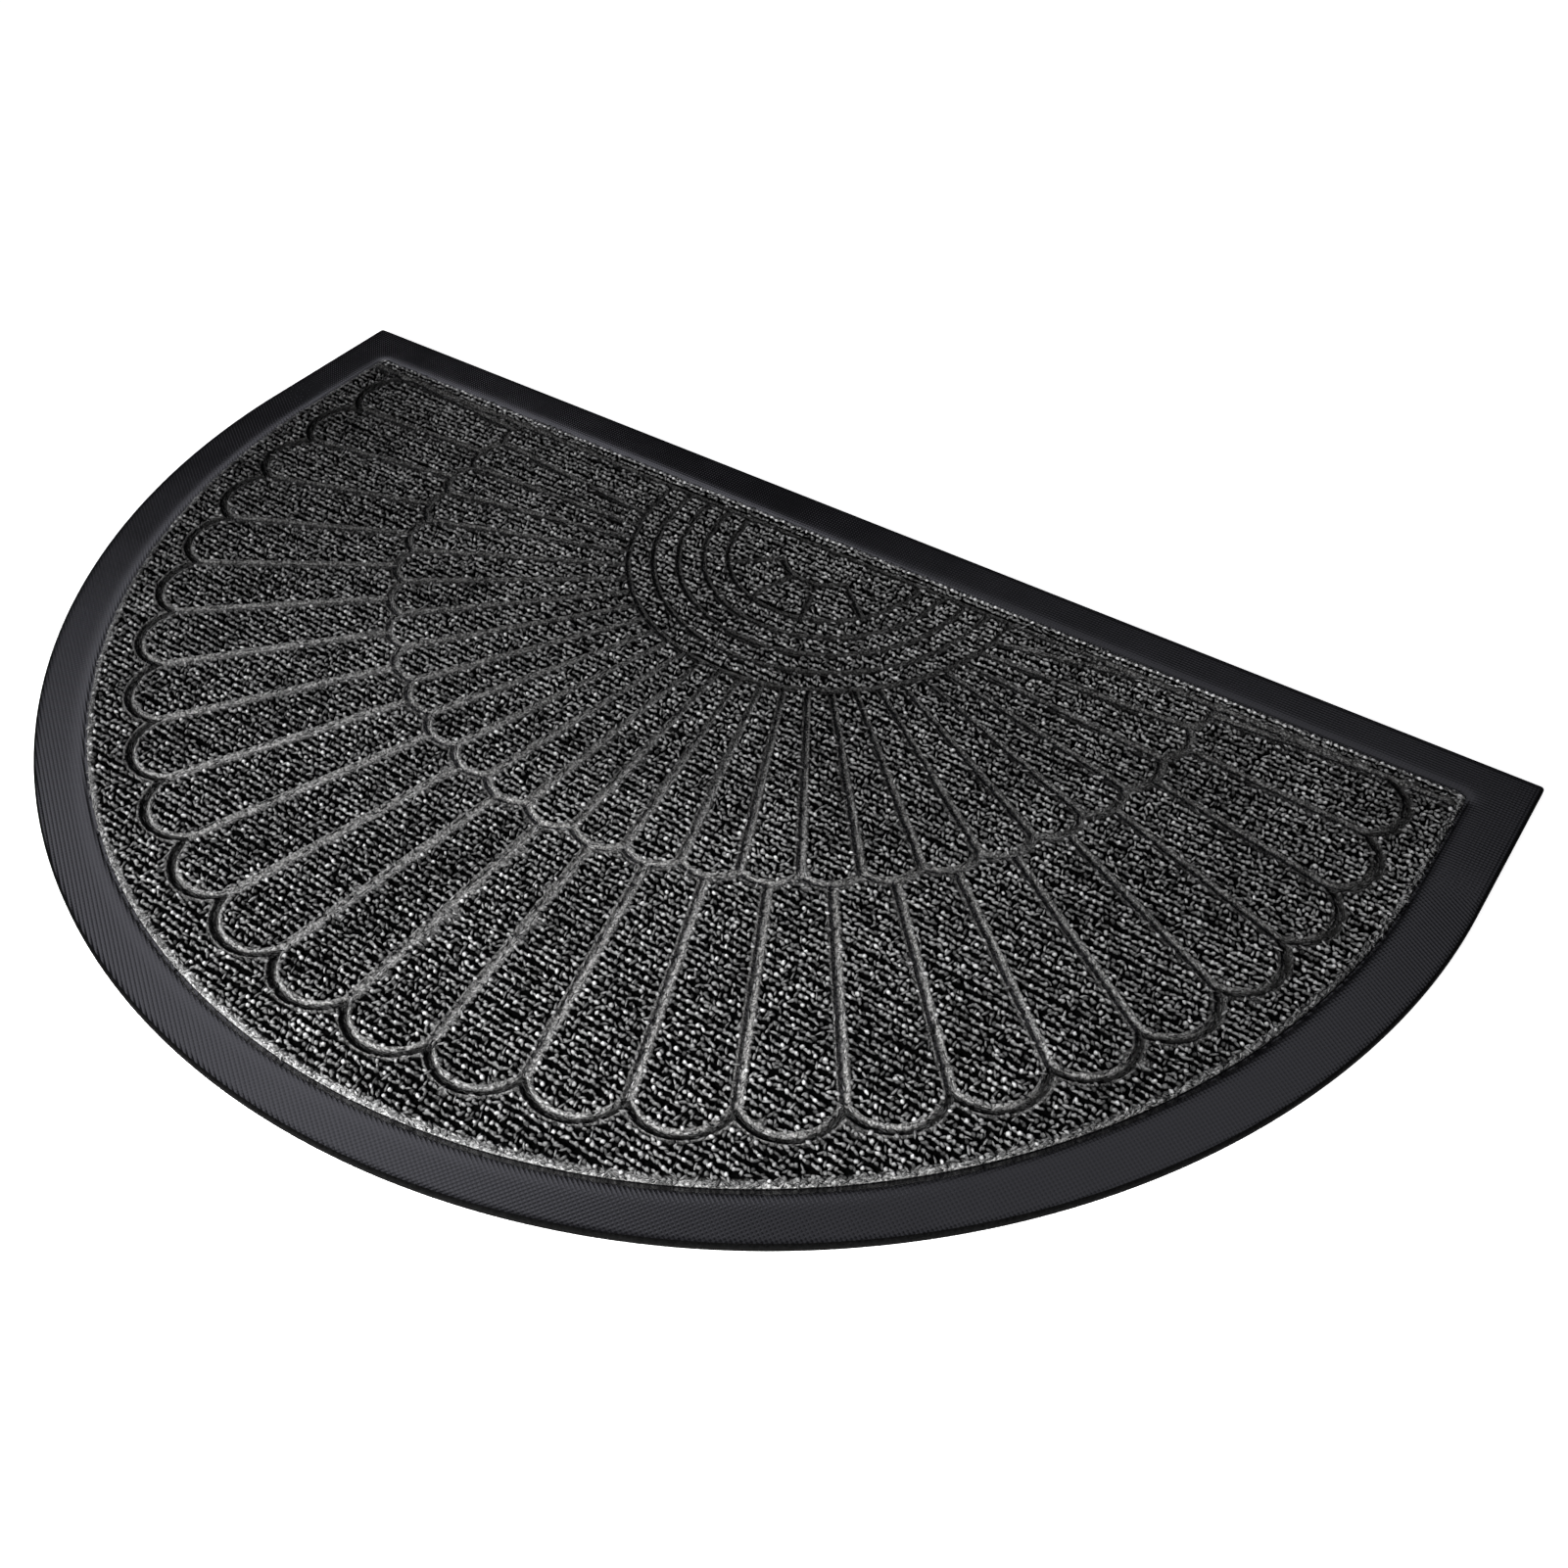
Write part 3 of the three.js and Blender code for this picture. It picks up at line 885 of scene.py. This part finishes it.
def pile_strands(xy, size, share, tone, angle, rng):
    """Strands of the pile at the places that the pressed lines and the rim leave clear."""
    rim_gap, line_gap = rim_distance(xy), pressed_distance(xy)
    ground = ground_height(line_gap, rim_gap)
    full = smooth_step(line_gap, 0, FULL_FROM_LINE) * smooth_step(rim_gap, 0, FULL_FROM_RIM)
    full = full * np.where(xy[:, 1] > SEAM_Y, SELVAGE_RISE, 1)
    rise = PILE_HEIGHT * share * from_least(LEAST_RISE, full) * rng.normal(1, PILE_SPREAD, len(xy))
    top = np.maximum(np.minimum(GROUND_Z, ground) + rise, ground + LEAST_STRAND)
    sizes = rng.normal(1, PILE_SPREAD, (len(xy), 2)) * np.array(size)
    strands = {"xy": xy, "size": sizes, "angle": angle, "foot": ground - STRAND_SINK, "top": top,
               "tone": tone}
    return chosen_strands(strands, (rim_gap > CLEAR_OF_RIM) & (line_gap > CLEAR_OF_LINE))


def mixed_tones(least, span, count, rng):
    """Random tones over a span, most of them near its middle."""
    return least + span * rng.beta(2, 2, count)


def textile_pile(yarn, rng):
    """The pile: rows of loop tips with threads between them, crushed near the lines and the rim."""
    rows = row_places(rng)
    count = len(rows)
    pitch = np.array([LOOP_PITCH, ROW_PITCH])
    selvage = rows[:, 1] > PAD_BACK_Y - FIRST_ROW_INSET - ROW_PITCH / 2
    # Loops darker towards the back: partly wear, partly painted light falling off away from the key
    tone = rng.beta(*LOOP_TONE_SHAPE, count) * from_least(BACK_LOOP_SHARE, worn_and_lit_face(rows))
    tone = np.clip(tone + SELVAGE_TONE * selvage, 0, 1)
    places = rows + rng.normal(0, LOOP_STRAY, rows.shape) * pitch
    angle = rng.normal(0, LOOP_TURN, count)
    loops = pile_strands(places, LOOP_SIZE, 1.0, tone, angle, rng)
    places = rows + np.array([LOOP_PITCH / 2, 0]) + rng.normal(0, THREAD_STRAY, rows.shape) * pitch
    crossing = rng.random(count) < CROSS_SHARE
    angle = rng.normal(0, THREAD_TURN, count)
    angle = angle + np.where(crossing, rng.choice([-CROSS_TURN, CROSS_TURN], count), 0)
    tone = mixed_tones(*THREAD_TONE, count, rng)
    threads = pile_strands(places, THREAD_SIZE, THREAD_HEIGHT, tone, angle, rng)
    pile = joined_strands(loops, threads)
    order = np.argsort(pile["xy"][:, 0], kind="stable")
    pieces = []
    for number, chosen in enumerate(np.array_split(order, PILE_PIECES), 1):
        strands = chosen_strands(pile, chosen)
        pieces.append(strand_piece(f"textile_loops_{number}", strands, yarn, rng))
    return pieces


def line_tufts(rng):
    """Places and directions of the felted strands that lie along the pressed lines."""
    places, ways = [], []
    for line in LINE_RUNS:
        way, across = line_sides(line)
        picked = rng.integers(0, len(line), int(len(line) * LINE_SPACING / LINE_TUFT_SPACING))
        offset = rng.uniform(-1, 1, len(picked)) * LINE_TUFT_REACH * line_width(line[picked])
        places.append(line[picked] + offset[:, None] * across[picked])
        ways.append(np.arctan2(way[picked, 1], way[picked, 0]))
    return np.concatenate(places), np.concatenate(ways)


def rim_tufts(rng):
    """Places and directions of the felted strands that lie along the rim."""
    outline = pad_outline(0)
    picked = rng.integers(0, len(outline), RIM_TUFTS)
    inset = rng.uniform(RIM_TUFT_START, RIM_TUFT_REACH, RIM_TUFTS)
    share = (inset / RIM_TUFT_REACH)[:, None]
    places = outline[picked] + share * (pad_outline(RIM_TUFT_REACH)[picked] - outline[picked])
    way = np.roll(outline, -1, 0) - np.roll(outline, 1, 0)
    turn = rng.normal(0, RIM_TUFT_TURN, RIM_TUFTS)
    return places, np.arctan2(way[picked, 1], way[picked, 0]) + turn


def textile_felt(yarn, rng):
    """Felted strands pressed along the lines and the rim."""
    line_xy, line_way = line_tufts(rng)
    rim_xy, rim_way = rim_tufts(rng)
    xy = np.concatenate([line_xy, rim_xy])
    rim_gap = rim_distance(xy)
    ground = ground_height(pressed_distance(xy), np.maximum(rim_gap, 0))
    line_way = line_way + rng.normal(0, LINE_TUFT_TURN, len(line_way))
    # Rim tufts paler at the front: partly wear, partly painted highlight
    rim_tone = mixed_tones(*RIM_TUFT_TONE, len(rim_way), rng) * from_least(OFF_FRONT_RIM_SHARE, worn_and_lit_rim(rim_xy))
    line_tone = mixed_tones(*LINE_TUFT_TONE, len(line_way), rng)
    # Line tufts darker towards the back: partly wear, partly painted light
    line_tone = line_tone * from_least(BACK_LINE_SHARE, worn_and_lit_face(line_xy))
    # Tufts in the painted shade are darkened too
    line_tone = line_tone * (1 - PAINTED_SHADE_SHARE * painted_felt_shade(line_xy))
    size = rng.normal(1, TUFT_SPREAD, (len(xy), 2)) * np.array(TUFT_SIZE)
    top = ground + TUFT_HEIGHT * rng.uniform(*TUFT_RISE, len(xy))
    strands = {"xy": xy, "size": size, "angle": np.concatenate([line_way, rim_way]),
               "foot": ground - STRAND_SINK, "top": top,
               "tone": np.concatenate([line_tone, rim_tone])}
    strands = chosen_strands(strands, rim_gap > TUFT_CLEAR_OF_RIM)
    return strand_piece("textile_felt", strands, yarn, rng)


# Floor, light and camera

def stage_piece(name, vertices, faces, material):
    """A surface that belongs to the stage, not to the mat."""
    mesh = bpy.data.meshes.new(name)
    mesh.from_pydata(vertices, [], faces)
    mesh.materials.append(material)
    piece = bpy.data.objects.new(name, mesh)
    bpy.context.scene.collection.objects.link(piece)
    return piece


def floor():
    """A plain pale floor, and a pale backdrop round it that only the camera sees."""
    corners = [(-STAGE_REACH, -STAGE_REACH, 0), (STAGE_REACH, -STAGE_REACH, 0),
               (STAGE_REACH, STAGE_REACH, 0), (-STAGE_REACH, STAGE_REACH, 0)]
    nodes = Nodes("pale_floor")
    nodes.set(Base_Color=(FLOOR_LEVEL, FLOOR_LEVEL, FLOOR_LEVEL, 1), Roughness=0.9,
              Specular_IOR_Level=0.1, Emission_Color=(1, 1, 1, 1), Emission_Strength=FLOOR_LEVEL)
    stage_piece("floor", corners, [(0, 1, 2, 3)], nodes.material)
    turn = np.arange(BACKDROP_SIDES) * 2 * math.pi / BACKDROP_SIDES
    ring = np.stack([np.cos(turn), np.sin(turn)], -1) * STAGE_REACH
    wall = np.concatenate([np.insert(ring, 2, z, axis=1) for z in (0, BACKDROP_HEIGHT)])
    faces = strip_faces(2, BACKDROP_SIDES)
    backdrop = stage_piece("backdrop", wall.tolist(), faces.tolist(), nodes.material)
    backdrop.visible_diffuse = backdrop.visible_glossy = backdrop.visible_shadow = False


def area_light(name, place, target, size, power, colour=(1, 1, 1), spread=180 * DEGREE):
    """A soft square light that looks at a point."""
    light = bpy.data.lights.new(name, "AREA")
    light.size = size
    light.energy = power
    light.color = colour
    light.spread = spread
    lamp = bpy.data.objects.new(name, light)
    lamp.location = place
    lamp.rotation_euler = (Vector(target) - Vector(place)).to_track_quat("-Z", "Y").to_euler()
    bpy.context.scene.collection.objects.link(lamp)
    return lamp


def surround():
    """A dark room, so that the lights alone model the relief."""
    world = bpy.data.worlds.new("studio")
    world.use_nodes = True
    sky = world.node_tree.nodes["Background"]
    sky.inputs["Color"].default_value = COOL
    sky.inputs["Strength"].default_value = ROOM_LEVEL
    bpy.context.scene.world = world


def lights():
    """Soft studio light: a low key at the front, and a sheen and a large softbox high at the back."""
    key = area_light("key", *KEY_LIGHT, spread=KEY_SPREAD)
    key.visible_glossy = False
    area_light("sheen", *SHEEN_LIGHT, COOL[:3])
    area_light("softbox", *SOFTBOX_LIGHT, COOL[:3])
    surround()
    bpy.context.scene.view_settings.view_transform = "Standard"


def camera():
    """The camera, at the photograph's place and angle."""
    data = bpy.data.cameras.new("camera")
    data.lens = CAMERA_LENS
    data.sensor_width = CAMERA_SENSOR
    data.clip_start = CAMERA_NEAR
    piece = bpy.data.objects.new("camera", data)
    up = CAMERA_RIGHT.cross(CAMERA_FORWARD)
    axes = Matrix((CAMERA_RIGHT, up, -CAMERA_FORWARD)).transposed()
    piece.matrix_world = Matrix.Translation(CAMERA_PLACE) @ axes.to_4x4()
    bpy.context.scene.collection.objects.link(piece)
    bpy.context.scene.camera = piece


camera()
lights()
floor()
random = np.random.default_rng(SEED)
rubber_base()
ground = textile_ground(random)
yarn = yarn_material()
pile = textile_pile(yarn, random)
felt = textile_felt(yarn, random)
